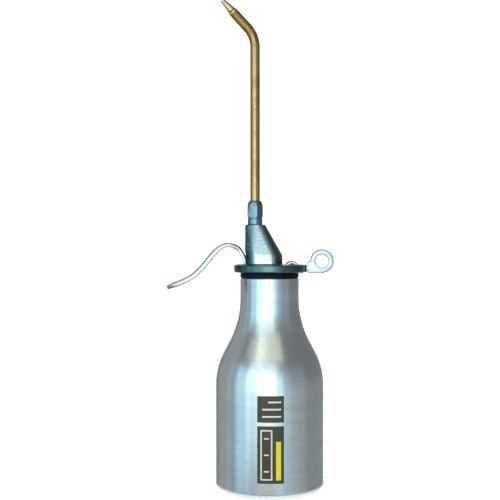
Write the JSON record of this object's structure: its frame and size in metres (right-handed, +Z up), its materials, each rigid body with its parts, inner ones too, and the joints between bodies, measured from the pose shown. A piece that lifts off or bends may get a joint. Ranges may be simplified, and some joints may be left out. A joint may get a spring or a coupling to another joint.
{
  "type": "pump oil can",
  "caption": "Hand oiler with a bottle-shaped aluminium flask, a cast pump head, a spring-returned thumb lever, a hanging eye and a swivelling brass spout with a bent end.",
  "frame": {"origin": "centre of the flask's flat base", "axes": "+Z up along the flask, -X towards the lever's finger end and the spout's bend, +X towards the hanging eye, Y across the symmetry plane"},
  "size_m": [0.1055, 0.068, 0.3086],
  "materials": {
    "spun_aluminium": "satin, turned, with fine rings",
    "black_rubber": "glossy moulded rubber",
    "cast_zinc": "zinc-alloy die casting, plated, satin",
    "zinc_plate": "bright zinc-plated pressed steel",
    "pin_steel": "dark drawn steel",
    "nickel_plate": "nickel-plated, satin",
    "brass": "drawn and turned brass, lightly tarnished",
    "pale_brass": "turned brass, pale",
    "spring_steel": "bright spring steel",
    "fibre": "red vulcanised fibre",
    "leather": "oiled pump leather",
    "hose_plastic": "natural plastic hose"
  },
  "bodies": {
    "flask": {"flask": "spun_aluminium"},
    "gasket_ring": {"neck_gasket": "black_rubber"},
    "head": {"pump_head": "cast_zinc", "hanging_eye": "zinc_plate", "lever_pin": "pin_steel", "gland_nut": "brass", "gland_packing": "fibre", "barrel_seal": "fibre", "pump_barrel": "brass", "foot_valve": "brass", "ball_retainer": "brass", "dip_hose": "hose_plastic", "strainer": "brass", "nipple_washer": "fibre"},
    "lever": {"lever": "zinc_plate"},
    "plunger": {"plunger": "zinc_plate", "piston": "brass", "piston_cup": "leather", "return_spring": "spring_steel"},
    "foot_ball": {"foot_ball": "spring_steel"},
    "delivery_ball": {"delivery_ball": "spring_steel", "delivery_spring": "spring_steel"},
    "spout": {"spout_nipple": "nickel_plate", "spout_tube": "brass", "nozzle_tip": "pale_brass"}
  },
  "joints": [
    {"name": "head_lift", "type": "slide", "parent": "flask", "child": "gasket_ring", "axis": [0, 0, 1], "range_m": [0, 0.135]},
    {"name": "head_turn", "type": "hinge", "parent": "gasket_ring", "child": "head", "pos_m": [0, 0, 0.135], "axis": [0, 0, 1], "continuous": true},
    {"name": "lever_press", "type": "hinge", "parent": "head", "child": "lever", "pos_m": [0.01395, 0, 0.1386], "axis": [0, -1, 0], "range_deg": [0, 8], "stiffness_Nm_per_rad": 0.31, "springref_deg": -19.48},
    {"name": "plunger_stroke", "type": "slide", "parent": "head", "child": "plunger", "axis": [0, 0, -1], "range_m": [0, 0.0026], "deforming": ["return_spring"]},
    {"name": "foot_ball_lift", "type": "slide", "parent": "head", "child": "foot_ball", "axis": [0, 0, 1], "range_m": [0, 0.0008]},
    {"name": "delivery_ball_lift", "type": "slide", "parent": "head", "child": "delivery_ball", "axis": [0, 0, 1], "range_m": [0, 0.0008], "stiffness_N_per_m": 50, "springref_m": -0.004, "deforming": ["delivery_spring"]},
    {"name": "spout_turn", "type": "hinge", "parent": "head", "child": "spout", "pos_m": [-0.0091, 0, 0.16615], "axis": [0, 0, 1], "continuous": true}
  ],
  "couplings": [
    {"joint": "plunger_stroke", "follows": "lever_press", "m_per_rad": 0.01765}
  ]
}
